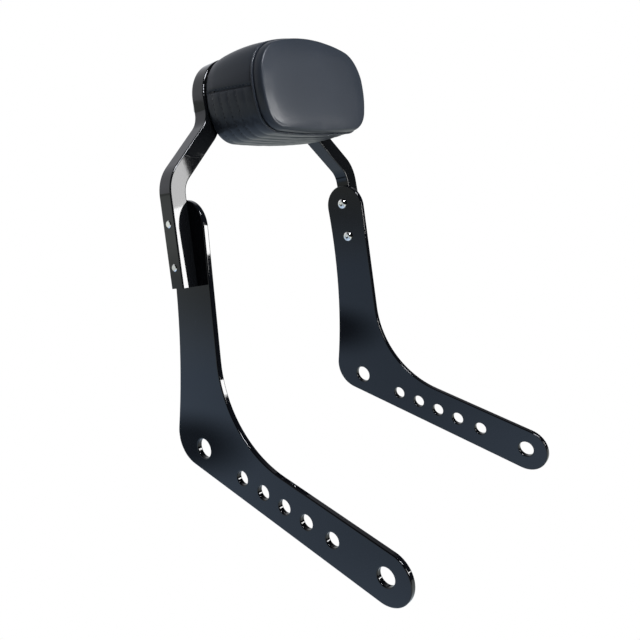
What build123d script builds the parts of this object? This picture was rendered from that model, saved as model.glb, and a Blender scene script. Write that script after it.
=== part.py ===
"""Motorcycle sissy bar: two flat side plates, a bent square bar and a padded backrest.

Millimetres. +Z is up, the rider faces -Y and +X is the rider's left. The origin lies
half way between the two elbow holes of the side plates.
"""
import os
from math import cos, radians, sin, tan

from build123d import *

os.makedirs("parts", exist_ok=True)

# Stance of the bar and the plates
bar_recline = 20.0  # the bar's plane leans back from upright
leg_splay = 3.37  # each leg opens outward toward its foot, in the bar's plane
elbow_spacing = 241.6  # between the two plates' middle planes at the elbow hole
bar_setback = 14.6  # the bar's middle plane lies in front of the elbow holes' axis

# Side plate
plate_thickness = 5.2
plate_edge_radius = 1.0
arm_width = 43.1
arm_droop = 0.31  # the arm falls toward the front
hole_spacing = 203.2  # elbow hole to front hole
end_overhang = 0.6  # the arm's round end is centred just past the front hole
elbow_reach = 36.6  # elbow hole to the sharp lower rear corner, before rounding
elbow_radius = 27.0
crotch_radius = 94.0
post_top_margin = 19.4  # from the upper screw to the post's top, along the leg
post_front = 39.4  # post's front edge at the top, in front of the elbow holes' axis
post_rear = 7.6  # post's rear edge at the top, behind that axis
front_edge_lean = 17.3
rear_edge_radius = 610.0
elbow_hole_diameter = 18.0
front_hole_diameter = 15.2
row_hole_diameter = 12.6
row_hole_places = (51.7, 77.4, 101.8, 126.0, 152.8)  # ahead of the elbow hole
row_drop = 2.4  # how far the first row hole lies under the line of the two end holes

# Bent square bar
bar_width = 16.0
bar_edge_radius = 1.2
bend_radius = 27.0  # at the middle of the section
leg_foot = 146.3  # elbow hole to the leg's cut end, along the leg
leg_length = 88.2  # from the foot to the point where the leg's line meets the diagonal's line
diagonal_angle = 48.0  # the diagonal's lean from the bar's centre line
upright_spacing = 131.4  # between the middles of the two uprights
upright_length = 48.76  # from the diagonal's line to the middle of the cross-member

# Shape shared by all screws
head_dome_share = 0.92  # rounded part of the head's height
tip_chamfer_share = 0.1  # of the shank's diameter

# Screws that hold the plates to the legs
plate_screw_diameter = 6.35
plate_screw_places = (17.5, 53.7)  # along the leg, from its foot
plate_screw_end = 0.8  # how far the tip stands out of the bar
plate_head_diameter = 11.1
plate_head_height = 3.35
plate_socket_size = 3.97
plate_socket_depth = 2.2
thread_clearance = 0.05
plate_hole_clearance = 0.25

# Pad outline, in the bar's plane, as a chain of tangent arcs from the bottom's middle
pad_drop = 78.6  # from the bar's top down to the pad's lower edge
pad_overhang = 8.8  # how far the pad's side stands out past the middle of an upright
pad_bow_angle = 4.2
pad_foot_radius = 22.7
pad_foot_angle = 71.5
pad_side_radius = 74.6
pad_side_angle = 23.0
pad_shoulder_radius = 34.1
pad_shoulder_angle = 67.1

# Pad build-up, from the bar's front face toward the rider
cover_thickness = 2.6
hem_thickness = 1.4  # cover folded over the base's back
hem_width = 16.0
base_thickness = 10.0
base_chamfer = 1.5
band_depth = 59.0  # back of the cover to the welt
back_edge_radius = 6.0
welt_thickness = 2.6
welt_stand_out = 1.0
welt_edge_radius = 1.2
face_depth = 7.0  # welt to the front of the face
face_edge_radius = 5.0
seam_rise = 37.6  # from the pad's lower edge up to the split between the plain and the ribbed band
rib_count = 5
rib_edge_radius = 1.5
rib_back_margin = 9.0  # plain stretch between the back and the first rib
soft_clearance = 0.3

# Pad fasteners
pad_screw_diameter = 6.35
pad_screw_length = 28.0
pad_head_diameter = 11.1
pad_head_height = 3.35
pad_socket_size = 3.97
pad_socket_depth = 2.2
pad_hole_clearance = 0.3
pad_screw_drop = 33.0  # the lower pair goes through the uprights, this far under the cross-member's middle
pad_screw_high_across = 22.0  # the upper pair goes through the cross-member
washer_diameter = 13.5
washer_thickness = 1.6
insert_diameter = 8.8
insert_length = 8.0
insert_sink = 1.5  # how far the insert lies under the base's back
insert_clearance = 0.1
staple_count = 16
staple_width = 8.0
staple_wire = 0.7
staple_leg = 6.0
staple_inset = 10.0  # in from the pad's outline
staple_clearance = 0.05

SIDES = (("right", -1), ("left", 1))
LEVELS = ("lower", "upper")

half_spacing = elbow_spacing / 2
half_plate = plate_thickness / 2
half_bar = bar_width / 2
splay = radians(leg_splay)
recline = radians(bar_recline)
plate_screw_heights = [leg_foot + place for place in plate_screw_places]

# Corners of the bar's centre line, in its plane
leg_offset = half_plate + half_bar
knee_height = leg_foot + leg_length
knee_across = half_spacing + leg_offset / cos(splay) - knee_height * tan(splay)
upright_across = upright_spacing / 2
hip_height = knee_height + (knee_across - upright_across) / tan(radians(diagonal_angle))
crest_height = hip_height + upright_length
pad_bottom = crest_height + half_bar - pad_drop

# The bar's plane: local X across, local Y up along the bar, local Z toward the rider
BAR_PLANE = Plane(origin=(0, 0, 0), x_dir=(1, 0, 0), z_dir=(0, -cos(recline), sin(recline)))
bar_front = bar_setback + half_bar
bar_rear = bar_setback - half_bar


def leg_point(side, height, outward=0.0, depth=bar_setback):
    """Point on one leg: height runs along the leg, outward is measured from the plate's middle."""
    across = side * (half_spacing + outward * cos(splay) - height * sin(splay))
    along = outward * sin(splay) + height * cos(splay)
    return BAR_PLANE.from_local_coords(Vector(across, along, depth))


def leg_direction(side):
    """Unit vector up along one leg."""
    return BAR_PLANE.y_dir * cos(splay) - BAR_PLANE.x_dir * side * sin(splay)


def outward_direction(side):
    """Unit vector square to one plate, away from the other plate."""
    return BAR_PLANE.x_dir * side * cos(splay) + BAR_PLANE.y_dir * sin(splay)


def plate_plane(side):
    """Middle plane of one plate: local X to the rear, local Y up, local Z along +X."""
    rear_way = leg_direction(side) * sin(recline) - BAR_PLANE.z_dir * cos(recline)
    return Plane(
        origin=leg_point(side, 0, depth=0),
        x_dir=rear_way,
        z_dir=outward_direction(side) * side,
    )


def plate_local(height, ahead):
    """Plate coordinates of a point given along the leg and ahead of the elbow holes' axis."""
    return Vector(
        height * sin(recline) - ahead * cos(recline),
        height * cos(recline) + ahead * sin(recline),
    )


def plate_outline():
    """The plate's outline: an arm with a round front end and a post with a round top."""
    half_arm = arm_width / 2
    forward = Vector(-cos(radians(arm_droop)), -sin(radians(arm_droop)))
    upward = Vector(forward.Y, -forward.X)
    end_centre = forward * (hole_spacing + end_overhang)
    elbow = Vector(elbow_reach, 0) - upward * half_arm
    post_height = plate_screw_heights[-1] + post_top_margin
    post_radius = (post_front + post_rear) / 2
    post_centre = plate_local(post_height - post_radius, post_front - post_radius)
    post_back = post_centre + plate_local(0, -post_radius)
    post_top = post_centre + plate_local(post_radius, 0)
    slope = radians(front_edge_lean)
    post_fore = post_centre + Vector(-cos(slope), sin(slope)) * post_radius
    fall = (post_fore - upward * half_arm).dot(upward) / Vector(sin(slope), cos(slope)).dot(upward)
    crotch = post_fore - Vector(sin(slope), cos(slope)) * fall
    with BuildSketch() as outline:
        with BuildLine():
            Line(end_centre - upward * half_arm, elbow)
            RadiusArc(elbow, post_back, rear_edge_radius)
            ThreePointArc(post_back, post_top, post_fore)
            Polyline(post_fore, crotch, end_centre + upward * half_arm)
            ThreePointArc(
                end_centre + upward * half_arm,
                end_centre + forward * half_arm,
                end_centre - upward * half_arm,
            )
        make_face()
        fillet(outline.vertices().sort_by_distance(elbow)[0], elbow_radius)
        fillet(outline.vertices().sort_by_distance(crotch)[0], crotch_radius)
    return outline.sketch


def row_places():
    """Plate coordinates of the five small holes, on a line that meets the front hole."""
    first = row_hole_places[0]
    slope = row_drop / (hole_spacing - first)
    return [(-place, -(hole_spacing - place) * slope) for place in row_hole_places]


def bar_centre_line():
    """Draw the bent bar's centre line, from foot to foot, in the current line."""
    foot_across = half_spacing + leg_offset * cos(splay) - leg_foot * sin(splay)
    foot_height = leg_offset * sin(splay) + leg_foot * cos(splay)
    right_half = [
        (-foot_across, foot_height),
        (-knee_across, knee_height),
        (-upright_across, hip_height),
        (-upright_across, crest_height),
    ]
    left_half = [(-across, height) for across, height in reversed(right_half)]
    return FilletPolyline(*right_half, *left_half, radius=bend_radius)


def pad_outline(inset=0.0):
    """The pad's outline, moved inward by inset."""
    bow_share = sin(radians(pad_bow_angle))
    flank_share = sin(radians(pad_bow_angle + pad_foot_angle))
    foot_across = pad_foot_radius * (flank_share - bow_share)
    flank_across = pad_side_radius * (1 - flank_share)
    bow_radius = (upright_across + pad_overhang - foot_across - flank_across) / bow_share
    crown_angle = 180 - pad_bow_angle - pad_foot_angle - pad_side_angle - pad_shoulder_angle
    with BuildSketch() as outline:
        with BuildLine():
            bow = JernArc((0, pad_bottom + inset), (1, 0), bow_radius - inset, pad_bow_angle)
            foot = JernArc(bow @ 1, bow % 1, pad_foot_radius - inset, pad_foot_angle)
            flank = JernArc(foot @ 1, foot % 1, pad_side_radius - inset, pad_side_angle)
            shoulder = JernArc(flank @ 1, flank % 1, pad_shoulder_radius - inset, pad_shoulder_angle)
            crown_radius = (shoulder @ 1).X / sin(radians(crown_angle))
            crown = JernArc(shoulder @ 1, shoulder % 1, crown_radius, crown_angle)
            Line(crown @ 1, bow @ 0)
        make_face()
        mirror(about=Plane.YZ)
    return outline.sketch


def pad_screw_places():
    """Places of the four pad screws in the bar's plane: two in the uprights, two in the cross-member."""
    low_height = crest_height - pad_screw_drop
    return (
        (-upright_across, low_height),
        (upright_across, low_height),
        (-pad_screw_high_across, crest_height),
        (pad_screw_high_across, crest_height),
    )


def pad_screw_plane(across, height, depth):
    """Plane square to a pad screw at a depth toward the rider, local Z toward the rider."""
    return Plane(
        origin=BAR_PLANE.from_local_coords(Vector(across, height, depth)),
        x_dir=BAR_PLANE.x_dir,
        z_dir=BAR_PLANE.z_dir,
    )


def staple_planes():
    """Planes of the staples, spread evenly between the pad screws, local X along each crown."""
    rim = pad_outline(staple_inset).face().outer_wire()
    marks = []
    for across, height in pad_screw_places():
        nearest = rim.closest_points(Vertex(across, height, 0))[0]
        marks.append(rim.param_at_point(nearest))
    marks.sort()
    planes = []
    for start, stop in zip(marks, marks[1:] + [marks[0] + 1]):
        count = max(1, round((stop - start) * staple_count))
        for index in range(count):
            share = (start + (stop - start) * (index + 0.5) / count) % 1
            place = rim.position_at(share)
            along = rim.tangent_at(share)
            planes.append(
                Plane(
                    origin=BAR_PLANE.from_local_coords(Vector(place.X, place.Y, bar_front)),
                    x_dir=BAR_PLANE.x_dir * along.X + BAR_PLANE.y_dir * along.Y,
                    z_dir=BAR_PLANE.z_dir,
                )
            )
    return planes


def staple_solid(plane, grow=0.0):
    """Staple pressed flush into the hem: a crown with two legs toward the rider."""
    thick = staple_wire + 2 * grow
    reach = (staple_width - staple_wire) / 2
    with BuildPart() as staple:
        with BuildSketch(plane):
            Rectangle(staple_width + 2 * grow, thick)
        extrude(amount=staple_wire + grow)
        with BuildSketch(plane.offset(staple_wire)):
            with Locations((-reach, 0), (reach, 0)):
                Rectangle(thick, thick)
        extrude(amount=staple_leg + grow)
    return staple.part


def disc(plane, radius, length, inner=0.0):
    """Solid disc or ring that stands on a plane, along its local Z."""
    with BuildPart() as blank:
        with BuildSketch(plane):
            Circle(radius)
            if inner:
                Circle(inner, mode=Mode.SUBTRACT)
        extrude(amount=length)
    return blank.part


def button_screw(plane, shank, length, head, height, socket, depth):
    """Button head screw: the head stands on the plane along local Z, the shank runs the other way."""
    dome = height * head_dome_share
    with BuildPart() as screw:
        with BuildSketch(plane):
            Circle(head / 2)
        extrude(amount=height)
        fillet(faces().sort_by_distance(plane.origin + plane.z_dir * height)[0].edges(), dome)
        with BuildSketch(plane.offset(height)):
            RegularPolygon(socket / 2, 6, major_radius=False)
        extrude(amount=-depth, mode=Mode.SUBTRACT)
        with BuildSketch(plane):
            Circle(shank / 2)
        extrude(amount=-length)
        tip = faces().sort_by_distance(plane.origin - plane.z_dir * length)[0]
        chamfer(tip.edges(), shank * tip_chamfer_share)
    return screw.part


def save(part, name):
    """Label a finished piece and write its file."""
    part.label = name
    export_step(part, f"parts/{name}.step")


# Side plates
plate_face = plate_outline()
for side_name, side in SIDES:
    plane = plate_plane(side)
    with BuildPart() as side_plate:
        with BuildSketch(plane):
            add(plate_face)
            with Locations((0, 0)):
                Circle(elbow_hole_diameter / 2, mode=Mode.SUBTRACT)
            with Locations((-hole_spacing, 0)):
                Circle(front_hole_diameter / 2, mode=Mode.SUBTRACT)
            with Locations(*row_places()):
                Circle(row_hole_diameter / 2, mode=Mode.SUBTRACT)
            with Locations(*[plate_local(height, bar_setback) for height in plate_screw_heights]):
                Circle(plate_screw_diameter / 2 + plate_hole_clearance, mode=Mode.SUBTRACT)
        extrude(amount=half_plate, both=True)
        broad_faces = faces().sort_by(SortBy.AREA)[-2:]
        fillet(broad_faces.edges(), plate_edge_radius)
    save(side_plate.part, f"{side_name}_side_plate")

# Bent square bar on the outer side of both plates
with BuildPart() as arch_bar:
    with BuildLine(BAR_PLANE.offset(bar_setback)) as centre_line:
        bar_centre_line()
    foot_plane = Plane(origin=centre_line.line @ 0, x_dir=BAR_PLANE.z_dir, z_dir=centre_line.line % 0)
    with BuildSketch(foot_plane):
        RectangleRounded(bar_width, bar_width, bar_edge_radius)
    sweep()
    for _, side in SIDES:
        for height in plate_screw_heights:
            seat = Plane(origin=leg_point(side, height, half_plate), z_dir=outward_direction(side))
            with BuildSketch(seat):
                Circle(plate_screw_diameter / 2 + thread_clearance)
            extrude(amount=bar_width, mode=Mode.SUBTRACT)
    for across, height in pad_screw_places():
        with BuildSketch(pad_screw_plane(across, height, bar_rear)):
            Circle(pad_screw_diameter / 2 + pad_hole_clearance)
        extrude(amount=bar_width, mode=Mode.SUBTRACT)
save(arch_bar.part, "arch_bar")

# Screws through the plates into the legs: head on the plate's inner face, tip at the bar's outer face
for side_name, side in SIDES:
    for level, height in zip(LEVELS, plate_screw_heights):
        seat = Plane(origin=leg_point(side, height, -half_plate), z_dir=-outward_direction(side))
        plate_screw = button_screw(
            seat,
            plate_screw_diameter,
            plate_thickness + bar_width + plate_screw_end,
            plate_head_diameter,
            plate_head_height,
            plate_socket_size,
            plate_socket_depth,
        )
        save(plate_screw, f"{side_name}_{level}_plate_screw")

# Pad base with holes for the threaded inserts
base_back = bar_front + hem_thickness
base_front = base_back + base_thickness
core_face = pad_outline(cover_thickness + soft_clearance)
with BuildPart() as pad_base:
    with BuildSketch(BAR_PLANE.offset(base_back)):
        add(core_face)
    extrude(amount=base_thickness)
    back_rim = faces().sort_by(Axis(BAR_PLANE.origin, BAR_PLANE.z_dir))[0]
    chamfer(back_rim.edges(), base_chamfer)
    for across, height in pad_screw_places():
        with BuildSketch(pad_screw_plane(across, height, base_back)):
            Circle(pad_screw_diameter / 2 + pad_hole_clearance)
        extrude(amount=insert_sink, mode=Mode.SUBTRACT)
        with BuildSketch(pad_screw_plane(across, height, base_back + insert_sink)):
            Circle(insert_diameter / 2 + insert_clearance)
        extrude(amount=base_thickness, mode=Mode.SUBTRACT)
    for staple_plane in staple_planes():
        add(staple_solid(staple_plane, staple_clearance), mode=Mode.SUBTRACT)
save(pad_base.part, "pad_base")

# Sewn cover: plain upper band and ribbed lower band, both folded over the base's back
with BuildPart() as cover_room:
    with BuildSketch(BAR_PLANE.offset(base_back)):
        add(pad_outline(cover_thickness))
    extrude(amount=band_depth)
    room_rim = faces().sort_by(Axis(BAR_PLANE.origin, BAR_PLANE.z_dir))[0]
    chamfer(room_rim.edges(), base_chamfer)
    with BuildSketch(BAR_PLANE.offset(bar_front)):
        add(pad_outline(hem_width))
    extrude(amount=band_depth)
    for across, height in pad_screw_places():
        with BuildSketch(pad_screw_plane(across, height, bar_front)):
            Circle(pad_screw_diameter / 2 + pad_hole_clearance)
        extrude(amount=band_depth)
    for staple_plane in staple_planes():
        add(staple_solid(staple_plane, staple_clearance))

seam_plane = Plane(
    origin=BAR_PLANE.from_local_coords(Vector(0, pad_bottom + seam_rise, 0)),
    x_dir=BAR_PLANE.x_dir,
    z_dir=BAR_PLANE.y_dir,
)

with BuildPart() as cover_plain_band:
    with BuildSketch(BAR_PLANE.offset(bar_front)):
        add(pad_outline())
    extrude(amount=band_depth)
    plain_rim = faces().sort_by(Axis(BAR_PLANE.origin, BAR_PLANE.z_dir))[0]
    fillet(plain_rim.edges(), back_edge_radius)
    add(cover_room.part, mode=Mode.SUBTRACT)
    split(bisect_by=seam_plane, keep=Keep.TOP)
save(cover_plain_band.part, "cover_plain_band")

rib_pitch = (band_depth - rib_back_margin) / rib_count
with BuildPart() as rib_blank:
    with BuildSketch(BAR_PLANE.offset(bar_front + rib_back_margin)):
        add(pad_outline())
    extrude(amount=rib_pitch)
    rib_faces = faces().sort_by(Axis(BAR_PLANE.origin, BAR_PLANE.z_dir))
    fillet(rib_faces[0].edges() + rib_faces[-1].edges(), rib_edge_radius)

with BuildPart() as cover_ribbed_band:
    with BuildSketch(BAR_PLANE.offset(bar_front)):
        add(pad_outline())
    extrude(amount=rib_back_margin)
    margin_faces = faces().sort_by(Axis(BAR_PLANE.origin, BAR_PLANE.z_dir))
    fillet(margin_faces[-1].edges(), rib_edge_radius)
    fillet(faces().sort_by(Axis(BAR_PLANE.origin, BAR_PLANE.z_dir))[0].edges(), back_edge_radius)
    for index in range(rib_count):
        add(rib_blank.part.moved(Location(BAR_PLANE.z_dir * rib_pitch * index)))
    add(cover_room.part, mode=Mode.SUBTRACT)
    split(bisect_by=seam_plane, keep=Keep.BOTTOM)
save(cover_ribbed_band.part, "cover_ribbed_band")

# Welt sewn between the bands and the face
welt_back = bar_front + band_depth
with BuildPart() as cover_welt:
    with BuildSketch(BAR_PLANE.offset(welt_back)):
        add(pad_outline(-welt_stand_out))
        add(pad_outline(cover_thickness), mode=Mode.SUBTRACT)
    extrude(amount=welt_thickness)
    fillet(faces().sort_by(SortBy.AREA)[-1].edges(), welt_edge_radius)
save(cover_welt.part, "cover_welt")

# Face panel
face_back = welt_back + welt_thickness
with BuildPart() as cover_face_panel:
    with BuildSketch(BAR_PLANE.offset(face_back)):
        add(pad_outline())
    extrude(amount=face_depth)
    front_rim = faces().sort_by(Axis(BAR_PLANE.origin, BAR_PLANE.z_dir))[-1]
    fillet(front_rim.edges(), face_edge_radius)
    with BuildSketch(BAR_PLANE.offset(face_back)):
        add(pad_outline(cover_thickness))
    extrude(amount=face_depth - cover_thickness, mode=Mode.SUBTRACT)
save(cover_face_panel.part, "cover_face_panel")

# Foam core
foam_front = face_back + face_depth - cover_thickness - soft_clearance
with BuildPart() as foam_core:
    with BuildSketch(BAR_PLANE.offset(base_front)):
        add(core_face)
    extrude(amount=foam_front - base_front)
    foam_rim = faces().sort_by(Axis(BAR_PLANE.origin, BAR_PLANE.z_dir))[-1]
    fillet(foam_rim.edges(), face_edge_radius - cover_thickness)
save(foam_core.part, "foam_core")

# Staples, one group of separate solids
with BuildPart() as cover_staples:
    for staple_plane in staple_planes():
        add(staple_solid(staple_plane))
save(cover_staples.part, "cover_staples")

# Pad screws from behind the bar, their washers, and the threaded inserts in the base
pad_screw_names = ("lower_right", "lower_left", "upper_right", "upper_left")
for place_name, (across, height) in zip(pad_screw_names, pad_screw_places()):
    washer = disc(
        pad_screw_plane(across, height, bar_rear - washer_thickness),
        washer_diameter / 2,
        washer_thickness,
        pad_screw_diameter / 2 + pad_hole_clearance,
    )
    save(washer, f"{place_name}_pad_washer")

    seat = pad_screw_plane(across, height, bar_rear - washer_thickness)
    pad_screw = button_screw(
        Plane(origin=seat.origin, x_dir=seat.x_dir, z_dir=-seat.z_dir),
        pad_screw_diameter,
        pad_screw_length,
        pad_head_diameter,
        pad_head_height,
        pad_socket_size,
        pad_socket_depth,
    )
    save(pad_screw, f"{place_name}_pad_screw")

    insert = disc(
        pad_screw_plane(across, height, base_back + insert_sink),
        insert_diameter / 2,
        insert_length,
        pad_screw_diameter / 2 + thread_clearance,
    )
    save(insert, f"{place_name}_threaded_insert")
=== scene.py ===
"""Motorcycle sissy bar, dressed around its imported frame.

Everything is in metres in the part's own frame: +Z up, the rider faces -Y, +X is the rider's
left. The pad is modelled in the bar's plane: x across, y up along the bar, z toward the rider.
"""
from __future__ import annotations

import logging
import math
from dataclasses import dataclass, field
from enum import Enum

import bmesh
import bpy
from mathutils import Matrix, Vector, noise

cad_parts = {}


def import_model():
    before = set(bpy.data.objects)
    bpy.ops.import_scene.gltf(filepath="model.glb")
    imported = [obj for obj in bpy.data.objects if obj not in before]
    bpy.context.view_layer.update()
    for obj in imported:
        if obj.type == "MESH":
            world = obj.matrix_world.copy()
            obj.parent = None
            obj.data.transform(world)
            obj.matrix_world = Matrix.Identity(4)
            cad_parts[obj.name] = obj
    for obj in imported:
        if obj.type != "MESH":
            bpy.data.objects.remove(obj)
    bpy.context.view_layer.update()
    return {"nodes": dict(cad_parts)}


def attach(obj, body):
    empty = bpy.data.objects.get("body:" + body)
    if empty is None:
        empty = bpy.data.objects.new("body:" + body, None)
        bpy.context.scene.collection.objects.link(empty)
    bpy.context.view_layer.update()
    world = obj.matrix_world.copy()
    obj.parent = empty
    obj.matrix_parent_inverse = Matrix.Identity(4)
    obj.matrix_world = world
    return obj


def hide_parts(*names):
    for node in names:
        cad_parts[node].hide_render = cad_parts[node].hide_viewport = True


LOG = logging.getLogger("sissy_bar")
MM = 0.001
BAR_RECLINE = math.radians(20.0)
BAR_TO_ROW = Matrix.Rotation(math.radians(90.0) - BAR_RECLINE, 4, "X")
SAME_PLACE = 1e-6
ROUNDING = 1e-12
ROLL_SHARES = ((0.9, 0.99), (0.66, 0.93), (0.42, 0.78), (0.26, 0.55), (0.16, 0.28))


class Row(Enum):
    """Kinds of rows of the cover, from the face's edge to the hem."""

    ROLL = "roll"
    SEAM = "seam"
    EDGE = "edge"
    CHANNEL = "channel"
    BAND = "band"
    HEM = "hem"


def linear(srgb: str) -> tuple[float, float, float, float]:
    """Turn an sRGB hex colour into linear red, green and blue with an alpha of 1."""
    channels = [int(srgb[i : i + 2], 16) / 255 for i in (0, 2, 4)]
    lit = [c / 12.92 if c <= 0.04045 else ((c + 0.055) / 1.055) ** 2.4 for c in channels]
    return (lit[0], lit[1], lit[2], 1.0)


def share_of(value: float, begin: float, end: float) -> float:
    """How far a value has come from begin to end, as a share from 0 to 1."""
    return min(max((value - begin) / (end - begin), 0.0), 1.0)


def eased(share: float) -> float:
    """Ease a share in and out."""
    return share * share * (3 - 2 * share)


def add_node(
    tree: bpy.types.NodeTree, kind: str, inputs: dict | None = None, **settings
) -> bpy.types.Node:
    """Add a node with its settings, values and links.

    Args:
        tree: the node tree it goes into.
        kind: the node's type name.
        inputs: socket name or number to a value, or to the output socket that feeds it.
        settings: attributes of the node.

    Returns:
        The new node.
    """
    node = tree.nodes.new(kind)
    for name, value in settings.items():
        setattr(node, name, value)
    for socket, value in (inputs or {}).items():
        if isinstance(value, bpy.types.NodeSocket):
            tree.links.new(value, node.inputs[socket])
        else:
            node.inputs[socket].default_value = value
    return node


def speckle(
    tree: bpy.types.NodeTree, place: bpy.types.NodeSocket, size_mm: float, detail: float, **more: float
) -> bpy.types.Node:
    """Add a noise texture.

    Args:
        tree: the node tree it goes into.
        place: the coordinates it reads.
        size_mm: size of its features in millimetres.
        detail: octaves.
        more: values of its other inputs.

    Returns:
        The noise node.
    """
    inputs = {"Vector": place, "Scale": 1.0 / (size_mm * MM), "Detail": detail, **more}
    return add_node(tree, "ShaderNodeTexNoise", inputs)


def bumped(
    tree: bpy.types.NodeTree, height: bpy.types.NodeSocket, strength: float, depth_mm: float, **settings
) -> bpy.types.NodeSocket:
    """Add a bump node.

    Args:
        tree: the node tree it goes into.
        height: the height it reads.
        strength: its strength.
        depth_mm: its depth in millimetres.
        settings: attributes of the node.

    Returns:
        The bumped normal.
    """
    inputs = {"Height": height, "Strength": strength, "Distance": depth_mm * MM}
    return add_node(tree, "ShaderNodeBump", inputs, **settings).outputs["Normal"]


def remap(
    tree: bpy.types.NodeTree,
    value: bpy.types.NodeSocket,
    begin: tuple[float, float],
    end: tuple[float, float],
    smooth: bool = False,
) -> bpy.types.NodeSocket:
    """Map a value from one range to another and clamp it there.

    Args:
        tree: the node tree.
        value: the value to map.
        begin: its range.
        end: the results at both ends of that range.
        smooth: ease in and out.

    Returns:
        The mapped value.
    """
    inputs = {"Value": value, "From Min": begin[0], "From Max": begin[1]}
    inputs |= {"To Min": end[0], "To Max": end[1]}
    kind = "SMOOTHSTEP" if smooth else "LINEAR"
    return add_node(tree, "ShaderNodeMapRange", inputs, interpolation_type=kind).outputs["Result"]


def drifting(
    tree: bpy.types.NodeTree, factor: bpy.types.NodeSocket, middle: float, drift: tuple[float, float]
) -> bpy.types.NodeSocket:
    """Let a value drift round its middle, down and up, with a factor from 0 to 1."""
    return remap(tree, factor, (0.0, 1.0), (middle + drift[0], middle + drift[1]))


def mixed(
    tree: bpy.types.NodeTree, factor: bpy.types.NodeSocket, low: str, high: str
) -> bpy.types.NodeSocket:
    """Mix two sRGB colours by a factor and return the result's socket."""
    inputs = {"Factor": factor, 6: linear(low), 7: linear(high)}
    return add_node(tree, "ShaderNodeMix", inputs, data_type="RGBA").outputs[2]


def new_material(name: str) -> tuple[bpy.types.Material, bpy.types.NodeTree]:
    """Make an empty node material with that name, and return it with its tree."""
    material = bpy.data.materials.new(name)
    material.use_nodes = True
    material.node_tree.nodes.clear()
    return material, material.node_tree


@dataclass(frozen=True)
class PowderCoat:
    """Black powder coat baked on steel: a dark body under a clear glossy skin with orange peel."""

    name: str = "black_powder_coat"
    body: str = "08090c"
    streak: str = "08090c"
    roughness: float = 0.34
    drift: tuple[float, float] = (-0.04, 0.05)
    skin_roughness: float = 0.04
    cloud_mm: float = 1000.0 / 22.0
    peel_mm: float = 2.4
    peel_strength: float = 0.02
    peel_depth_mm: float = 0.1
    line_mm: float = 0.0
    line_mm_across: float = 125.0

    def make(self) -> bpy.types.Material:
        """Build the material.

        Returns:
            The powder coat, with lines along the bar where line_mm is set.
        """
        material, tree = new_material(self.name)
        place = add_node(tree, "ShaderNodeTexCoord").outputs["Object"]
        peel = speckle(tree, place, self.peel_mm, 2.0, Roughness=0.4)
        bump = bumped(tree, peel.outputs["Fac"], self.peel_strength, self.peel_depth_mm)
        cloud = speckle(tree, place, self.cloud_mm, 3.0, Roughness=0.5)
        shader = add_node(
            tree,
            "ShaderNodeBsdfPrincipled",
            {
                "Base Color": linear(self.body),
                "Roughness": drifting(tree, cloud.outputs["Fac"], self.roughness, self.drift),
                "IOR": 1.5,
                "Specular IOR Level": 0.0,
                "Coat Weight": 1.0,
                "Coat Roughness": self.skin_roughness,
                "Coat IOR": 1.5,
                "Normal": bump,
                "Coat Normal": bump,
            },
        )
        if self.line_mm:
            turned = add_node(
                tree,
                "ShaderNodeMapping",
                {"Vector": place, "Rotation": (BAR_RECLINE - math.radians(90.0), 0.0, 0.0)},
            )
            across, along = 1.0 / (self.line_mm_across * MM), 1.0 / (self.line_mm * MM)
            stretched = add_node(
                tree,
                "ShaderNodeMapping",
                {"Vector": turned.outputs["Vector"], "Scale": (across, across, along)},
            )
            lines = add_node(
                tree,
                "ShaderNodeTexNoise",
                {"Vector": stretched.outputs["Vector"], "Scale": 1.0, "Detail": 3.0},
            )
            colour = mixed(tree, lines.outputs["Fac"], self.body, self.streak)
            tree.links.new(colour, shader.inputs["Base Color"])
        add_node(tree, "ShaderNodeOutputMaterial", {"Surface": shader.outputs["BSDF"]})
        return material


@dataclass(frozen=True)
class BrightSteel:
    """Stainless or bright plated steel, turned and tumbled: bright, with soft fine scratches."""

    name: str = "bright_screw_steel"
    colour: str = "f2f1ee"
    roughness: float = 0.1
    drift: tuple[float, float] = (-0.05, 0.06)
    scratch_mm: float = 0.5
    scratch_strength: float = 0.06
    scratch_depth_mm: float = 0.05

    def make(self) -> bpy.types.Material:
        """Build the material and return it."""
        material, tree = new_material(self.name)
        place = add_node(tree, "ShaderNodeTexCoord").outputs["Object"]
        grit = speckle(tree, place, self.scratch_mm, 4.0).outputs["Fac"]
        shader = add_node(
            tree,
            "ShaderNodeBsdfPrincipled",
            {
                "Base Color": linear(self.colour),
                "Metallic": 1.0,
                "Roughness": drifting(tree, grit, self.roughness, self.drift),
                "Normal": bumped(tree, grit, self.scratch_strength, self.scratch_depth_mm),
            },
        )
        add_node(tree, "ShaderNodeOutputMaterial", {"Surface": shader.outputs["BSDF"]})
        return material


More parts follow.
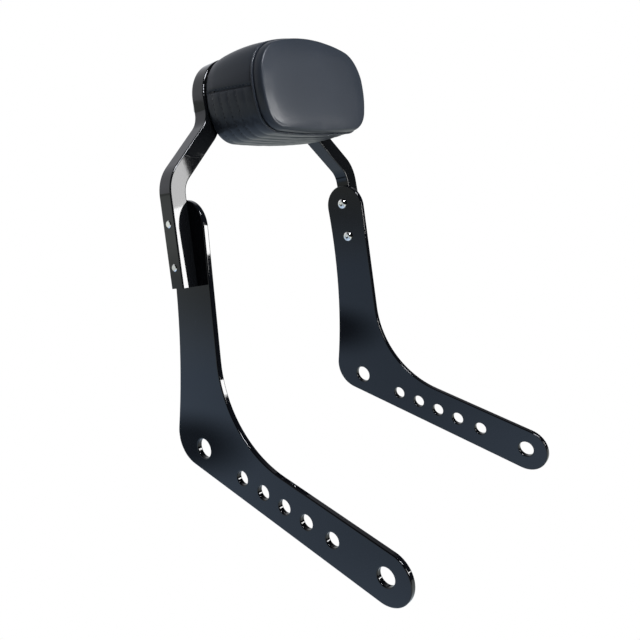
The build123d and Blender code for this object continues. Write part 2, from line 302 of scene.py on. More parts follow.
@dataclass(frozen=True)
class Vinyl:
    """Expanded vinyl with a calendered leather grain: a satin body under a thin glossier skin."""

    name: str = "black_cover_vinyl"
    colour: str = "1e2329"
    worn: str = "282d34"
    roughness: float = 0.44
    drift: tuple[float, float] = (-0.05, 0.07)
    skin: float = 0.2
    skin_roughness: float = 0.19
    sheen_level: float = 0.3
    grain_mm: float = 1.1
    grain_strength: float = 0.22
    grain_depth_mm: float = 0.15
    wander_mm: float = 4.0
    wander_reach_mm: float = 0.8
    pore_mm: float = 0.4
    pore_share: float = 0.3
    patch_mm: float = 1000.0 / 14.0

    def make(self) -> bpy.types.Material:
        """Build the material.

        Returns:
            Vinyl whose pebbles are Voronoi cells and whose sheen drifts in broad patches.
        """
        material, tree = new_material(self.name)
        place = add_node(tree, "ShaderNodeTexCoord").outputs["Object"]
        wander = speckle(tree, place, self.wander_mm, 2.0)
        bent = add_node(
            tree,
            "ShaderNodeVectorMath",
            {0: wander.outputs["Color"], 1: (self.wander_reach_mm * MM,) * 3, 2: place},
            operation="MULTIPLY_ADD",
        )
        pebble = add_node(
            tree,
            "ShaderNodeTexVoronoi",
            {"Vector": bent.outputs["Vector"], "Scale": 1.0 / (self.grain_mm * MM)},
            feature="SMOOTH_F1",
        )
        pore = speckle(tree, place, self.pore_mm, 3.0)
        height = add_node(
            tree,
            "ShaderNodeMath",
            {0: pore.outputs["Fac"], 1: self.pore_share, 2: pebble.outputs["Distance"]},
            operation="MULTIPLY_ADD",
        )
        bump = bumped(tree, height.outputs[0], self.grain_strength, self.grain_depth_mm, invert=True)
        patch = speckle(tree, place, self.patch_mm, 3.0, Roughness=0.55).outputs["Fac"]
        shader = add_node(
            tree,
            "ShaderNodeBsdfPrincipled",
            {
                "Base Color": mixed(tree, patch, self.colour, self.worn),
                "Roughness": drifting(tree, patch, self.roughness, self.drift),
                "IOR": 1.5,
                "Specular IOR Level": self.sheen_level,
                "Coat Weight": self.skin,
                "Coat Roughness": self.skin_roughness,
                "Normal": bump,
                "Coat Normal": bump,
            },
        )
        add_node(tree, "ShaderNodeOutputMaterial", {"Surface": shader.outputs["BSDF"]})
        return material


@dataclass(frozen=True)
class Thread:
    """Bonded nylon thread, black and a little shiny, with its twist as a fine bump."""

    name: str = "black_bonded_thread"
    colour: str = "15171b"
    roughness: float = 0.38
    twist_mm: float = 1.2
    twist_strength: float = 0.3
    twist_depth_mm: float = 0.05

    def make(self) -> bpy.types.Material:
        """Build the material and return it."""
        material, tree = new_material(self.name)
        place = add_node(tree, "ShaderNodeTexCoord").outputs["Object"]
        twist = add_node(
            tree,
            "ShaderNodeTexWave",
            {"Vector": place, "Scale": 1.0 / (self.twist_mm * MM), "Distortion": 1.0},
        )
        shader = add_node(
            tree,
            "ShaderNodeBsdfPrincipled",
            {
                "Base Color": linear(self.colour),
                "Roughness": self.roughness,
                "IOR": 1.53,
                "Normal": bumped(tree, twist.outputs["Fac"], self.twist_strength, self.twist_depth_mm),
            },
        )
        add_node(tree, "ShaderNodeOutputMaterial", {"Surface": shader.outputs["BSDF"]})
        return material


@dataclass(frozen=True)
class MouldedPlastic:
    """Polypropylene moulded in a spark eroded tool: matt black with a fine even texture."""

    name: str = "moulded_base_plastic"
    colour: str = "151516"
    roughness: float = 0.55
    texture_mm: float = 0.6
    texture_strength: float = 0.3
    texture_depth_mm: float = 0.08

    def make(self) -> bpy.types.Material:
        """Build the material and return it."""
        material, tree = new_material(self.name)
        place = add_node(tree, "ShaderNodeTexCoord").outputs["Object"]
        spark = speckle(tree, place, self.texture_mm, 4.0).outputs["Fac"]
        shader = add_node(
            tree,
            "ShaderNodeBsdfPrincipled",
            {
                "Base Color": linear(self.colour),
                "Roughness": self.roughness,
                "IOR": 1.49,
                "Normal": bumped(tree, spark, self.texture_strength, self.texture_depth_mm),
            },
        )
        add_node(tree, "ShaderNodeOutputMaterial", {"Surface": shader.outputs["BSDF"]})
        return material


@dataclass
class Frame:
    """The CAD nodes that stay as they are and only get their finishes."""

    nodes: dict[str, bpy.types.Object]

    def dress(self, words: tuple[str, ...], material: bpy.types.Material) -> None:
        """Give a finish to every node whose name holds one of the words.

        Args:
            words: parts of node names.
            material: the finish.
        """
        for name, node in self.nodes.items():
            if any(word in name for word in words):
                if not node.material_slots:
                    node.data.materials.append(material)
                for place in node.material_slots:
                    place.material = material
                LOG.info("%s wears %s", name, material.name)


@dataclass
class Rim:
    """The pad's outline in the bar's plane, a closed chain of tangent arcs, in metres.

    The bottom is a shallow bow of bow_angle degrees to either side. The foot, flank and shoulder
    are a radius and a sweep in degrees each, and the top arc closes the chain.
    """

    bottom: float = 259.4 * MM
    half_width: float = 74.5 * MM
    bow_angle: float = 4.2
    foot: tuple[float, float] = (22.7 * MM, 71.5)
    flank: tuple[float, float] = (74.6 * MM, 23.0)
    shoulder: tuple[float, float] = (34.1 * MM, 67.1)
    arcs: list[tuple[Vector, float, float, float, float]] = field(default_factory=list)

    def __post_init__(self) -> None:
        """Chain the right half's arcs: centre, radius, first heading, sweep and first length of each."""
        bow_share = math.sin(math.radians(self.bow_angle))
        flank_share = math.sin(math.radians(self.bow_angle + self.foot[1]))
        rest = self.foot[0] * (flank_share - bow_share) + self.flank[0] * (1 - flank_share)
        bow = ((self.half_width - rest) / bow_share, self.bow_angle)
        chain = [bow, self.foot, self.flank, self.shoulder]
        place, heading, length = Vector((0.0, self.bottom)), 0.0, 0.0
        for radius, angle in chain:
            sweep = math.radians(angle)
            centre = place + Vector((-math.sin(heading), math.cos(heading))) * radius
            self.arcs.append((centre, radius, heading, sweep, length))
            heading += sweep
            length += radius * sweep
            place = centre + Vector((math.sin(heading), -math.cos(heading))) * radius
        sweep = math.pi - heading
        radius = place.x / math.sin(sweep)
        centre = place + Vector((-math.sin(heading), math.cos(heading))) * radius
        self.arcs.append((centre, radius, heading, sweep, length))
        self.half_length = length + radius * sweep

    def wrap(self, length: float) -> float:
        """Bring a length into the range from minus to plus half the outline."""
        return (length + self.half_length) % (2 * self.half_length) - self.half_length

    def at(self, length: float, inset: float) -> Vector:
        """Point on the outline.

        Args:
            length: metres along it from the bottom's middle toward +x; it may be negative or wrap.
            inset: how far the point lies inside the outline.

        Returns:
            The point in the bar's plane, with no depth.
        """
        length = self.wrap(length)
        side = 1.0 if length >= 0 else -1.0
        run = abs(length)
        centre, radius, heading, _, start = [arc for arc in self.arcs if arc[4] <= run + ROUNDING][-1]
        heading += (run - start) / radius
        reach = radius - inset
        spot = centre + Vector((math.sin(heading), -math.cos(heading))) * reach
        return Vector((side * spot.x, spot.y, 0.0))

    def corner(self, index: int) -> float:
        """Length along the outline to the middle of the foot (0) or shoulder (1) arc."""
        _, radius, _, sweep, start = self.arcs[(1, 3)[index]]
        return start + radius * sweep / 2


@dataclass
class PadCover:
    """The sewn cover: a crowned face, a piped seam, a plain upper band and a ribbed lower band.

    Depths are measured from the bar's middle plane toward the rider, heights up along the bar.
    """

    rim: Rim
    back: float = 22.6 * MM
    base_front: float = 34.0 * MM
    seam_depth: float = 79.0 * MM
    narrow_back: float = 0.972
    narrow_front: float = 0.9356
    bottom: float = 261.1 * MM
    squat: float = 0.974
    edge_rise: float = 10.3 * MM
    edge_inset: float = 2.8 * MM
    face_edge_share: float = 1.25
    low_edge_drop: float = 0.4 * MM
    corner_drop: float = 0.6 * MM
    corner_reach: float = 16.0 * MM
    low_blend: float = 4.0 * MM
    drop_decay: float = 0.62
    back_edge: float = 3.0 * MM
    rib_count: int = 5
    rib_rows: int = 5
    rib_back: float = 31.6 * MM
    rib_front: float = 77.8 * MM
    seam_height: float = 300.5 * MM
    seam_climb: float = 5.5 * MM
    climb_reach: float = 27.5 * MM
    seam_groove: float = 2.8 * MM
    seam_half_width: float = 0.8 * MM
    seam_sink: float = 1.3 * MM
    channel_sink: float = 1.8 * MM
    side_channel: float = 0.5
    side_power: int = 4
    start_inset: float = 0.6 * MM
    crown_top: float = 3.6 * MM
    crown_side: float = 1.0 * MM
    crown_bottom: float = 1.6 * MM
    crown_top_heights: tuple[float, float] = (312.0 * MM, 336.0 * MM)
    crown_low_heights: tuple[float, float] = (278.0 * MM, 264.0 * MM)
    wrinkle: float = 0.3 * MM
    wrinkle_size: float = 9.0 * MM
    hem_width: float = 16.0 * MM
    hem_lift: float = 1.4 * MM
    hem_steps: int = 3
    across: int = 60
    up: int = 30
    pressure: float = 4.0
    frames: int = 20
    cap_face: float = 1.1 * MM
    cap_band: float = 1.2 * MM
    face_spread: float = 0.25
    face_passes: int = 16
    band_passes: int = 1
    piping_inset: float = 0.1 * MM
    piping_radius: float = 1.0 * MM
    piping_sides: int = 10
    stitch_length: float = 2.6 * MM
    stitch_pitch: float = 4.0 * MM
    stitch_radius: float = 0.3 * MM
    stitch_lift: float = 0.4
    stitch_facets: tuple[int, int] = (6, 4)
    halvings: int = 40
    side_seam: float = field(init=False, default=0.0)

    def __post_init__(self) -> None:
        """Find where the seam between the bands meets the outline."""
        self.side_seam = self.seam_length()

    def lengths(self) -> list[float]:
        """Place of each column along the outline, counterclockwise from the lower left corner."""
        foot, shoulder = self.rim.corner(0), self.rim.corner(1)
        full = 2 * self.rim.half_length
        runs = ((-foot, foot, self.across), (foot, shoulder, self.up))
        runs += ((shoulder, full - shoulder, self.across), (full - shoulder, full - foot, self.up))
        places = [start + (stop - start) * i / count for start, stop, count in runs for i in range(count)]
        for seam in (self.side_seam, full - self.side_seam):
            near = min(range(len(places)), key=lambda k: abs(places[k] - seam))
            for step in (-1, 0, 1):
                places[near + step] = seam + step * self.seam_half_width
        return places

    def seam_length(self) -> float:
        """Length along the outline from the bottom's middle to the seam between the two bands."""
        low, high = self.rim.corner(0), self.rim.corner(1)
        for _ in range(self.halvings):
            middle = (low + high) / 2
            if self.place(middle, 0.0, self.seam_depth).y < self.seam_height:
                low = middle
            else:
                high = middle
        return low

    def place(self, length: float, inset: float, depth: float) -> Vector:
        """Point of the cover in the bar's plane.

        Args:
            length: metres along the rim's outline.
            inset: how far inside the outline.
            depth: distance toward the rider, which draws the cover in a little toward its face.

        Returns:
            The point with its depth.
        """
        spot = self.rim.at(length, inset)
        share = share_of(depth, self.base_front, self.seam_depth)
        narrow = self.narrow_back + (self.narrow_front - self.narrow_back) * share
        return Vector((spot.x * narrow, self.bottom + (spot.y - self.rim.bottom) * self.squat, depth))

    def climbed(self, length: float, depth: float) -> float:
        """Shift a length near the seam between the bands, which climbs toward the back."""
        run = self.rim.wrap(length)
        side = 1.0 if run >= 0 else -1.0
        near = max(0.0, 1.0 - abs(abs(run) - self.side_seam) / self.climb_reach)
        back = share_of(depth, self.seam_depth, self.rib_back)
        return length + side * self.seam_climb * back * eased(near)

    def rise(self, length: float) -> float:
        """Height of the face's edge over the piped seam: lower along the bottom and at its corners."""
        run = abs(self.rim.wrap(length))
        corner = math.exp(-(((run - self.rim.corner(0)) / self.corner_reach) ** 2))
        low = 1.0 / (1.0 + math.exp((run - self.rim.corner(0)) / self.low_blend))
        return self.edge_rise - self.low_edge_drop * low - self.corner_drop * corner

    def stations(self) -> list[tuple[float, float, Row]]:
        """Rows from the face's edge to the hem.

        Returns:
            Inset, depth and kind of each row. Rows of the roll have shares of the edge's inset and
            rise instead of metres.
        """
        rows = [(inset, rise, Row.ROLL) for inset, rise in ROLL_SHARES]
        rows.append((self.seam_sink, self.seam_depth, Row.SEAM))
        total = self.rib_count * self.rib_rows
        for step in range(total + 1):
            depth = self.rib_front + (self.rib_back - self.rib_front) * step / total
            kind = Row.CHANNEL if step % self.rib_rows == 0 else Row.BAND
            rows.append((0.0, depth, Row.EDGE if step == 0 else kind))
        rows.append((0.0, (self.back + self.rib_back) / 2, Row.BAND))
        rows.append((0.0, self.back + self.back_edge, Row.BAND))
        for step in range(1, self.hem_steps + 1):
            turn = math.radians(90.0) * step / self.hem_steps
            inset = self.back_edge * (1 - math.cos(turn))
            rows.append((inset, self.back + self.back_edge * (1 - math.sin(turn)), Row.HEM))
        rows.append(((self.back_edge + self.hem_width) / 2, self.back, Row.HEM))
        rows.append((self.hem_width, self.back, Row.HEM))
        rows.append((self.hem_width, self.back + self.hem_lift, Row.HEM))
        return rows

    def face_place(self, u: float, v: float, lengths: list[float]) -> Vector:
        """Place of a point of the face's grid, blended between the four sides of the face's edge.

        Args:
            u: share across, from the rider's right to the left.
            v: share up.
            lengths: the columns' places along the outline.

        Returns:
            The point in the bar's plane.
        """
        a, b = self.across, self.up
        i, j = round(u * a), round(v * b)
        full = len(lengths)

        def edge(k: int) -> Vector:
            """Point of the face's edge at a column."""
            length = lengths[k % full]
            inset = self.face_edge_share * self.edge_inset
            return self.place(length, inset, self.seam_depth + self.rise(length))

        low, right, high, left = [edge(k) for k in (i, a + j, 2 * a + b - i, 2 * a + 2 * b - j)]
        corners = [edge(k) for k in (0, a, a + b, 2 * a + b)]
        blend = low * (1 - v) + high * v + left * (1 - u) + right * u
        blend -= corners[0] * (1 - u) * (1 - v) + corners[1] * u * (1 - v)
        blend -= corners[2] * u * v + corners[3] * (1 - u) * v
        crest = self.seam_depth + self.edge_rise
        blend.z = crest - (crest - blend.z) * self.drop_decay ** min(i, a - i, j, b - j)
        return blend

    def shell(self) -> tuple[bmesh.types.BMesh, list[list[bmesh.types.BMVert]], dict[Row, list[int]]]:
        """Build the unpressed cover.

        Returns:
            The mesh, its rows of vertices round the outline, and the rows by kind.
        """
        bm = bmesh.new()
        bmesh.ops.create_grid(bm, x_segments=self.across, y_segments=self.up, size=1.0)
        lengths = self.lengths()
        columns: dict[int, bmesh.types.BMVert] = {}
        a, b = self.across, self.up
        for vert in bm.verts:
            u, v = (vert.co.x + 1) / 2, (vert.co.y + 1) / 2
            i, j = round(u * a), round(v * b)
            if j == 0:
                columns[i] = vert
            elif i == a:
                columns[a + j] = vert
            elif j == b:
                columns[2 * a + b - i] = vert
            elif i == 0:
                columns[2 * a + 2 * b - j] = vert
            vert.co = self.face_place(u, v, lengths)
        rows = [[columns[k] for k in range(len(lengths))]]
        kinds: dict[Row, list[int]] = {}
        ring = [edge for edge in bm.edges if edge.is_boundary]
        for inset, depth, kind in self.stations():
            ring, row = next_row(bm, ring, rows[-1])
            for length, vert in zip(lengths, row):
                if kind is Row.ROLL:
                    rise = self.rise(length)
                    vert.co = self.place(length, inset * self.edge_inset, self.seam_depth + depth * rise)
                else:
                    sunk = inset + self.sink(kind, length, depth)
                    vert.co = self.place(self.climbed(length, depth), sunk, depth)
            kinds.setdefault(kind, []).append(len(rows))
            rows.append(row)
        bmesh.ops.holes_fill(bm, edges=ring, sides=len(ring))
        bmesh.ops.recalc_face_normals(bm, faces=bm.faces)
        return bm, rows, kinds

    def low(self, length: float) -> bool:
        """Whether a column lies under the seam between the two bands."""
        return abs(self.rim.wrap(length)) < self.side_seam - SAME_PLACE

    def crown(self, length: float, depth: float) -> float:
        """How far the stuffing carries a band outside the sewn outline."""
        height = self.place(length, 0.0, self.seam_depth).y
        top = share_of(height, *self.crown_top_heights)
        low = share_of(height, *self.crown_low_heights)
        most = self.crown_side + (self.crown_top - self.crown_side) * eased(top)
        most += (self.crown_bottom - self.crown_side) * low
        return most * math.sqrt(math.sin(math.pi * share_of(depth, self.back, self.seam_depth)))

    def sink(self, kind: Row, length: float, depth: float) -> float:
        """How far a row lies inside the sewn outline before the cover is pressed out."""
        if kind is Row.CHANNEL and self.low(length):
            under = min(abs(self.rim.wrap(length)) / self.rim.corner(0), 1.0) ** self.side_power
            return self.channel_sink * (1 - self.side_channel * under) - self.crown(length, depth)
        if kind in (Row.BAND, Row.EDGE, Row.CHANNEL):
            return self.start_inset - self.crown(length, depth)
        return 0.0

    def seam_columns(self) -> list[int]:
        """Return the two columns on the seam between the bands."""
        lengths = self.lengths()
        offs = [abs(abs(self.rim.wrap(length)) - self.side_seam) for length in lengths]
        columns = [k for k, off in enumerate(offs) if off < SAME_PLACE]
        LOG.info("band seam at columns %s of %d", columns, len(lengths))
        return columns

    def blow(self, cover: bpy.types.Object, pinned: set[int]) -> list[Vector]:
        """Blow the cover out between its seams with cloth pressure.

        Args:
            cover: the cover's object, whose own mesh stays as it is.
            pinned: vertices held by a seam, a channel or the base.

        Returns:
            Where each vertex ends.
        """
        held = cover.vertex_groups.new(name="sewn")
        held.add(sorted(pinned), 1.0, "REPLACE")
        press = cover.modifiers.new("press", "CLOTH")
        press.settings.vertex_group_mass = "sewn"
        press.settings.use_pressure = True
        press.settings.uniform_pressure_force = self.pressure
        press.settings.effector_weights.gravity = 0.0
        press.collision_settings.use_collision = False
        scene = bpy.context.scene
        for number in range(1, self.frames + 1):
            scene.frame_set(number)
        blown = cover.evaluated_get(bpy.context.evaluated_depsgraph_get()).data
        ends = [vert.co.copy() for vert in blown.vertices]
        cover.modifiers.remove(press)
        cover.vertex_groups.remove(held)
        scene.frame_set(1)
        return ends

    def calm(
        self, cover: bpy.types.Object, moves: list[Vector], pinned: set[int], face: set[int]
    ) -> list[Vector]:
        """Even the moves out between neighbours, more often on the face than on the bands."""
        beside: list[list[int]] = [[] for _ in moves]
        for edge in cover.data.edges:
            one, other = edge.vertices
            beside[one].append(other)
            beside[other].append(one)
        for number in range(self.face_passes):
            calmed = [move.copy() for move in moves]
            for index, near in enumerate(beside):
                if index in pinned or (index not in face and number >= self.band_passes):
                    continue
                mean = sum((moves[k] for k in near), Vector()) / len(near)
                calmed[index] = (moves[index] + mean) / 2
            moves = calmed
        return moves

    def press_out(self, cover: bpy.types.Object, pinned: set[int], face: set[int]) -> None:
        """Press the cover out, and keep the capped and evened moves in its mesh.

        Args:
            cover: the cover's object.
            pinned: vertices held by a seam, a channel or the base.
            face: vertices of the face, which move mostly toward the rider.
        """
        start = [vert.co.copy() for vert in cover.data.vertices]
        moves, furthest = [], 0.0
        for index, (begin, end) in enumerate(zip(start, self.blow(cover, pinned))):
            move = end - begin
            furthest = max(furthest, move.length)
            if index in face:
                move = Vector((move.x * self.face_spread, move.y * self.face_spread, move.z))
            cap = self.cap_face if index in face else self.cap_band
            if move.length > ROUNDING:
                move *= cap * math.tanh(move.length / cap) / move.length
            moves.append(move)
        moves = self.calm(cover, moves, pinned, face)
        for vert, begin, move in zip(cover.data.vertices, start, moves):
            vert.co = begin + move
            if vert.index not in face and vert.index not in pinned and begin.y < self.seam_height:
                ruffle = noise.noise(begin / self.wrinkle_size) * self.wrinkle
                vert.co += Vector((begin.x, begin.y - self.seam_height, 0.0)).normalized() * ruffle
        LOG.info("cover pressed out by up to %.1f mm before the cap", furthest / MM)

    def ring(self, inset: float, depth: float, name: str) -> bpy.types.Object:
        """Make the round piping that is sewn into the seam.

        Args:
            inset: how far its middle lies inside the outline.
            depth: its middle's distance from the bar's middle plane.
            name: the object's name.

        Returns:
            The piping in the bar's plane.
        """
        bm = bmesh.new()
        lengths = self.lengths()
        first = [bm.verts.new(self.place(length, inset, depth + self.piping_radius)) for length in lengths]
        for index, vert in enumerate(first):
            bm.edges.new((vert, first[(index + 1) % len(first)]))
        loop, row = list(bm.edges), first
        for step in range(1, self.piping_sides):
            turn = 2 * math.pi * step / self.piping_sides
            aside = inset - self.piping_radius * math.sin(turn)
            loop, row = next_row(bm, loop, row)
            for length, vert in zip(lengths, row):
                vert.co = self.place(length, aside, depth + self.piping_radius * math.cos(turn))
        ends = [edge for edge in bm.edges if edge.is_boundary]
        bmesh.ops.bridge_loops(bm, edges=ends)
        bmesh.ops.recalc_face_normals(bm, faces=bm.faces)
        return finished(bm, name)

    def build(self, vinyl: bpy.types.Material, thread: bpy.types.Material) -> None:
        """Args:
            vinyl: finish of the cover and the piping.
            thread: finish of the stitches.
        """
        bm, rows, kinds = self.shell()
        bm.verts.index_update()
        columns = self.seam_columns()
        lengths = self.lengths()
        sewn = kinds[Row.SEAM] + kinds[Row.HEM] + kinds[Row.EDGE]
        pinned = {vert.index for r in sewn for vert in rows[r]}
        channels = kinds[Row.CHANNEL]
        pinned |= {rows[r][k].index for r in channels for k in range(len(lengths)) if self.low(lengths[k])}
        first_band, last_band = min(kinds[Row.EDGE]), max(kinds[Row.BAND])
        for k in columns:
            for r in range(first_band, last_band):
                vert = rows[r][k]
                depth = vert.co.z
                sunk = self.start_inset + self.seam_groove - self.crown(lengths[k], depth)
                vert.co = self.place(self.climbed(lengths[k], depth), sunk, depth)
                pinned.add(vert.index)
        side = {vert.index for row in rows[kinds[Row.SEAM][0] :] for vert in row}
        face = {vert.index for vert in bm.verts} - side
        places = [[vert.index for vert in row] for row in rows]
        cover = finished(bm, "cover_vinyl_shell")
        self.press_out(cover, pinned, face)
        self.open_back(cover)
        piping = self.ring(self.piping_inset, self.seam_depth, "cover_piping")
        spots = [[cover.data.vertices[i].co.copy() for i in row] for row in places]
        stitches = self.stitch(spots, columns, channels, first_band, last_band)
        for piece, finish in ((cover, vinyl), (piping, vinyl), (stitches, thread)):
            piece.data.transform(BAR_TO_ROW)
            piece.data.materials.append(finish)
            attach(piece, "root")
        smooth = cover.modifiers.new("round", "SUBSURF")
        smooth.levels = smooth.render_levels = 1
        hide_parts("cover_plain_band", "cover_ribbed_band", "cover_face_panel", "foam_core")
        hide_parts("cover_welt")
        LOG.info("cover, piping and stitches built")

    def open_back(self, cover: bpy.types.Object) -> None:
        """Take away the face that closed the hem, so the base shows behind the pad."""
        bm = bmesh.new()
        bm.from_mesh(cover.data)
        closing = [face for face in bm.faces if len(face.verts) > 4]
        bmesh.ops.delete(bm, geom=closing, context="FACES_ONLY")
        bm.to_mesh(cover.data)
        bm.free()

    def stitch(
        self,
        spots: list[list[Vector]],
        columns: list[int],
        channels: list[int],
        first_band: int,
        last_band: int,
    ) -> bpy.types.Object:
        """Lay thread along the channels and beside the seam between the bands.

        Args:
            spots: places of the cover's vertices by row and column.
            columns: the two columns of the seam between the bands.
            channels: the rows of the sewn channels.
            first_band: first row behind the piping.
            last_band: last row before the back edge.

        Returns:
            All stitches as one object in the bar's plane.
        """
        bm = bmesh.new()
        lengths = self.lengths()
        paths = []
        for r in channels[1:]:
            low = [k for k in range(len(lengths)) if self.low(lengths[k])]
            start = next(k for k in low if (k - 1) % len(lengths) not in low)
            ordered = [(start + step) % len(lengths) for step in range(len(low))]
            paths.append([spots[r][k] for k in ordered])
        for k in columns:
            upward = 1 if spots[0][(k + 1) % len(lengths)].y > spots[0][k].y else -1
            above = (k + upward) % len(lengths)
            paths.append([spots[r][above] for r in range(first_band, last_band + 1)])
        middle = Vector((0.0, self.seam_height, 0.0))
        for path in paths:
            self.sew(bm, path, middle)
        return finished(bm, "cover_stitches")

    def sew(self, bm: bmesh.types.BMesh, path: list[Vector], middle: Vector) -> None:
        """Add the stitches of one seam to the mesh, each a small spindle that lies on the cover."""
        travelled, due = 0.0, self.stitch_pitch / 2
        for begin, end in zip(path, path[1:]):
            run = (end - begin).length
            while travelled + run > due:
                spot = begin.lerp(end, (due - travelled) / run)
                outward = Vector((spot.x - middle.x, spot.y - middle.y, 0.0)).normalized()
                along = (end - begin).normalized()
                turn = along.to_track_quat("X", "Z").to_matrix().to_4x4()
                size = (self.stitch_length / 2, self.stitch_radius, self.stitch_radius)
                place = Matrix.Translation(spot + outward * self.stitch_radius * self.stitch_lift) @ turn
                place = place @ Matrix.Diagonal((*size, 1.0))
                round_facets, long_facets = self.stitch_facets
                bmesh.ops.create_uvsphere(
                    bm, u_segments=round_facets, v_segments=long_facets, radius=1.0, matrix=place
                )
                due += self.stitch_pitch
            travelled += run


def next_row(
    bm: bmesh.types.BMesh, ring: list[bmesh.types.BMEdge], row: list[bmesh.types.BMVert]
) -> tuple[list[bmesh.types.BMEdge], list[bmesh.types.BMVert]]:
    """Extrude a closed ring of edges.

    Args:
        bm: the mesh.
        ring: the edges to extrude.
        row: their vertices in order.

    Returns:
        The new ring, and its vertices in the same order.
    """
    made = bmesh.ops.extrude_edge_only(bm, edges=ring)["geom"]
    fresh = {e for e in made if isinstance(e, bmesh.types.BMVert)}
    ring = [e for e in made if isinstance(e, bmesh.types.BMEdge) and set(e.verts) <= fresh]
    grown = [next(e.other_vert(old) for e in old.link_edges if e.other_vert(old) in fresh) for old in row]
    return ring, grown


def settle(bm: bmesh.types.BMesh) -> None:
    """Sort edges and faces by their lowest vertices, because extrusion leaves them in a chance order."""
    bm.verts.index_update()
    count = len(bm.verts)

    def rank(element: bmesh.types.BMEdge | bmesh.types.BMFace) -> float:
        """Number that stands for the lowest vertices of an edge or a face."""
        number = 0.0
        for index in sorted(vert.index for vert in element.verts)[:3]:
            number = number * count + index
        return number

    bm.edges.sort(key=rank)
    bm.faces.sort(key=rank)


def finished(bm: bmesh.types.BMesh, name: str) -> bpy.types.Object:
    """Turn a bmesh into a smooth shaded object at the origin.

    Args:
        bm: the mesh, which is freed.
        name: the object's name.

    Returns:
        The object, linked to the scene.
    """
    settle(bm)
    for face in bm.faces:
        face.smooth = True
    mesh = bpy.data.meshes.new(name)
    bm.to_mesh(mesh)
    bm.free()
    piece = bpy.data.objects.new(name, mesh)
    bpy.context.scene.collection.objects.link(piece)
    return piece


@dataclass(frozen=True)
class Softbox:
    """One rectangular area lamp: place and target in metres, width and height, watts, sRGB hex."""

    name: str
    place: tuple[float, float, float]
    target: tuple[float, float, float]
    size: tuple[float, float]
    power: float
    colour: str = "ffffff"
    in_gloss: bool = True

    def hang(self) -> None:
        """Hang the lamp so that it faces its target."""
        light = bpy.data.lights.new(self.name, "AREA")
        light.shape = "RECTANGLE"
        light.size, light.size_y = self.size
        light.energy = self.power
        light.color = linear(self.colour)[:3]
        lamp = bpy.data.objects.new(self.name, light)
        aim = Vector(self.target) - Vector(self.place)
        turn = aim.to_track_quat("-Z", "Y").to_matrix().to_4x4()
        lamp.matrix_world = Matrix.Translation(self.place) @ turn
        lamp.visible_glossy = self.in_gloss
        bpy.context.scene.collection.objects.link(lamp)


LAMPS = (
    Softbox("softbox_low", (0.795, -1.302, 0.603), (-0.074, 0.0, 0.25), (0.45, 0.30), 9.5),
    Softbox("softbox_high", (0.7475, -1.228, 0.89), (-0.074, 0.0, 0.25), (0.45, 0.30), 4.6),
    Softbox("softbox_top", (-0.18, -0.42, 1.5), (0.0, 0.0, 0.3), (0.5, 0.36), 22.0, "f4f7ff"),
    Softbox("fill_front", (0.2, -1.5, 0.9), (0.0, 0.0, 0.3), (1.2, 1.0), 17.0, "e6edff", in_gloss=False),
)


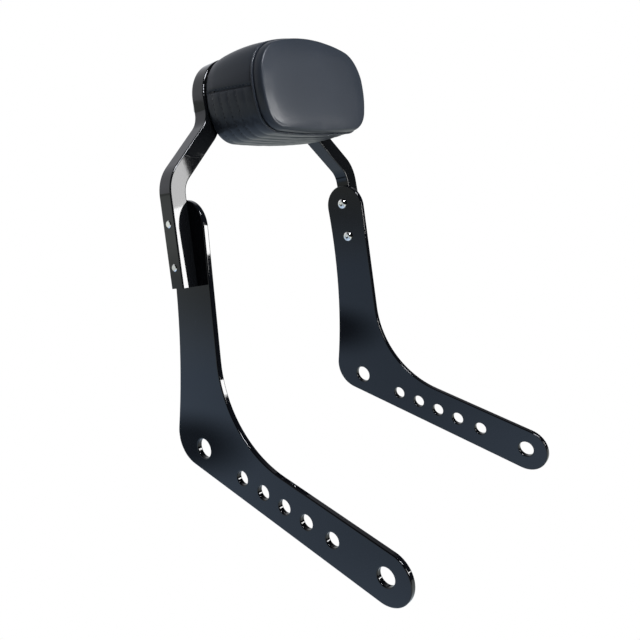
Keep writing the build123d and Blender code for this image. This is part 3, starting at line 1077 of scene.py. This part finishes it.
@dataclass
class Studio:
    """Pale floor, soft lamps, white background and the camera.

    A shade is a round patch of painted shadow on the floor, seen only in reflections: x, y, inner and
    outer radius, and the share of the light that is left inside. The last one has a share above 1
    and is a painted bright patch instead.
    """

    floor_height: float = -0.42
    floor_size: float = 8.0
    floor_cells: int = 8
    backdrop_side: tuple[float, float, float] = (0.25, 0.97, 0.0)
    backdrop_edge: tuple[float, float] = (0.1, 0.75)
    backdrop_level: float = 0.95
    backdrop_heights: tuple[float, float] = (0.1, 0.8)
    backdrop_top_share: float = 0.15
    backdrop_colour: str = "f6f8ff"
    room_level: float = 0.02
    paper_colour: str = "e8e8e8"
    floor_level: float = 0.82
    floor_fade_from: float = 3.0
    floor_far_share: float = 0.55
    # Painted reflection tint: glossy rays see the floor bluer near the part.
    cool_place: tuple[float, float, float] = (-0.75, 0.35, -0.42)
    cool_reach: tuple[float, float] = (0.5, 1.6)
    cool_colour: str = "c6dfff"
    warm_colour: str = "f4fbf8"
    painted_light_patches: tuple[tuple[float, float, float, float, float], ...] = (
        (-0.60, 0.57, 0.04, 0.19, 0.2),
        (-1.70, 1.30, 0.2, 1.0, 0.5),
        (-0.45, -0.12, 0.0, 0.35, 1.4),
    )
    lens: float = 35.106
    sensor_width: float = 36.0
    nearest: float = 0.02
    camera_place: tuple[float, float, float] = (-0.44477, -0.35839, 0.32936)
    camera_right: tuple[float, float, float] = (0.642272, -0.757022, 0.120014)
    camera_up: tuple[float, float, float] = (0.215331, 0.328485, 0.919636)
    camera_back: tuple[float, float, float] = (-0.735608, -0.564814, 0.373987)

    def build(self) -> None:
        """Set up the whole studio."""
        self.world()
        self.floor()
        for lamp in LAMPS:
            lamp.hang()
        self.camera()
        view = bpy.context.scene.view_settings
        view.view_transform = "Standard"
        LOG.info("studio built")

    def world(self) -> None:
        """White to the camera. What the part reflects is a lit backdrop on one side of a dark room."""
        world = bpy.data.worlds.new("studio_world")
        world.use_nodes = True
        tree = world.node_tree
        tree.nodes.clear()
        path = add_node(tree, "ShaderNodeLightPath")
        white = add_node(tree, "ShaderNodeBackground", {"Color": (1.0, 1.0, 1.0, 1.0), "Strength": 1.0})
        look = add_node(tree, "ShaderNodeTexCoord").outputs["Generated"]
        toward = add_node(
            tree, "ShaderNodeVectorMath", {0: look, 1: self.backdrop_side}, operation="DOT_PRODUCT"
        ).outputs["Value"]
        levels = (self.room_level, self.backdrop_level)
        level = remap(tree, toward, self.backdrop_edge, levels, smooth=True)
        height = add_node(tree, "ShaderNodeSeparateXYZ", {"Vector": look}).outputs["Z"]
        fall = remap(tree, height, self.backdrop_heights, (1.0, self.backdrop_top_share))
        strength = add_node(tree, "ShaderNodeMath", {0: level, 1: fall}, operation="MULTIPLY")
        soft = add_node(
            tree,
            "ShaderNodeBackground",
            {"Color": linear(self.backdrop_colour), "Strength": strength.outputs[0]},
        )
        mix = add_node(
            tree,
            "ShaderNodeMixShader",
            {0: path.outputs["Is Camera Ray"], 1: soft.outputs[0], 2: white.outputs[0]},
        )
        add_node(tree, "ShaderNodeOutputWorld", {"Surface": mix.outputs[0]})
        bpy.context.scene.world = world

    def floor(self) -> None:
        """Pale floor well under the part: white to the camera, and in reflections a painted glow, greyer
        near the part where painted shadows lie.
        """
        bm = bmesh.new()
        cells = self.floor_cells
        bmesh.ops.create_grid(bm, x_segments=cells, y_segments=cells, size=self.floor_size)
        bmesh.ops.translate(bm, verts=bm.verts, vec=(0.0, 0.0, self.floor_height))
        floor = finished(bm, "studio_floor")
        material, tree = new_material("pale_paper_floor")
        path = add_node(tree, "ShaderNodeLightPath")
        paper = add_node(tree, "ShaderNodeBsdfDiffuse", {"Color": linear(self.paper_colour)})
        place = add_node(tree, "ShaderNodeTexCoord").outputs["Object"]
        aside = add_node(tree, "ShaderNodeVectorMath", {0: place, 1: self.cool_place}, operation="DISTANCE")
        warm = remap(tree, aside.outputs["Value"], self.cool_reach, (0.0, 1.0))
        tint = mixed(tree, warm, self.cool_colour, self.warm_colour)
        reach = add_node(tree, "ShaderNodeVectorMath", {0: place}, operation="LENGTH")
        levels = (self.floor_level, self.floor_far_share * self.floor_level)
        level = remap(tree, reach.outputs["Value"], (self.floor_fade_from, self.floor_size), levels)
        # Painted shadows round the part, and one painted bright patch, in the floor's painted reflection.
        for x, y, inner, outer, share in self.painted_light_patches:
            middle = (x, y, self.floor_height)
            spot = add_node(tree, "ShaderNodeVectorMath", {0: place, 1: middle}, operation="DISTANCE")
            shade = remap(tree, spot.outputs["Value"], (inner, outer), (share, 1.0), smooth=True)
            level = add_node(tree, "ShaderNodeMath", {0: level, 1: shade}, operation="MULTIPLY").outputs[0]
        # Painted reflection: to glossy rays the floor glows like a lamp, though it is none.
        gloss = add_node(tree, "ShaderNodeEmission", {"Color": tint, "Strength": level})
        white = add_node(tree, "ShaderNodeEmission", {"Strength": 1.0})
        unseen = add_node(
            tree,
            "ShaderNodeMixShader",
            {0: path.outputs["Is Glossy Ray"], 1: paper.outputs[0], 2: gloss.outputs[0]},
        )
        mix = add_node(
            tree,
            "ShaderNodeMixShader",
            {0: path.outputs["Is Camera Ray"], 1: unseen.outputs[0], 2: white.outputs[0]},
        )
        add_node(tree, "ShaderNodeOutputMaterial", {"Surface": mix.outputs[0]})
        floor.data.materials.append(material)

    def camera(self) -> None:
        """Place the camera where the photograph was taken from."""
        data = bpy.data.cameras.new("photo_camera")
        data.lens = self.lens
        data.sensor_width = self.sensor_width
        data.clip_start = self.nearest
        camera = bpy.data.objects.new("photo_camera", data)
        turn = Matrix((self.camera_right, self.camera_up, self.camera_back)).transposed().to_4x4()
        camera.matrix_world = Matrix.Translation(self.camera_place) @ turn
        bpy.context.scene.collection.objects.link(camera)
        bpy.context.scene.camera = camera


def main() -> None:
    """Load the frame, give it its finishes, and build the pad cover and the studio."""
    logging.basicConfig(level=logging.INFO, format="%(message)s")
    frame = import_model()
    nodes = Frame(frame["nodes"])
    plate_coat = PowderCoat().make()
    bar_coat = PowderCoat(
        name="black_coat_on_drawn_steel", body="060708", streak="121314", roughness=0.4, line_mm=0.9
    ).make()
    steel, plastic = BrightSteel().make(), MouldedPlastic().make()
    nodes.dress(("side_plate",), plate_coat)
    nodes.dress(("arch_bar",), bar_coat)
    nodes.dress(("plate_screw", "pad_screw", "washer", "insert", "staples"), steel)
    nodes.dress(("pad_base",), plastic)
    PadCover(Rim()).build(Vinyl().make(), Thread().make())
    Studio().build()


if __name__ == "__main__":
    main()
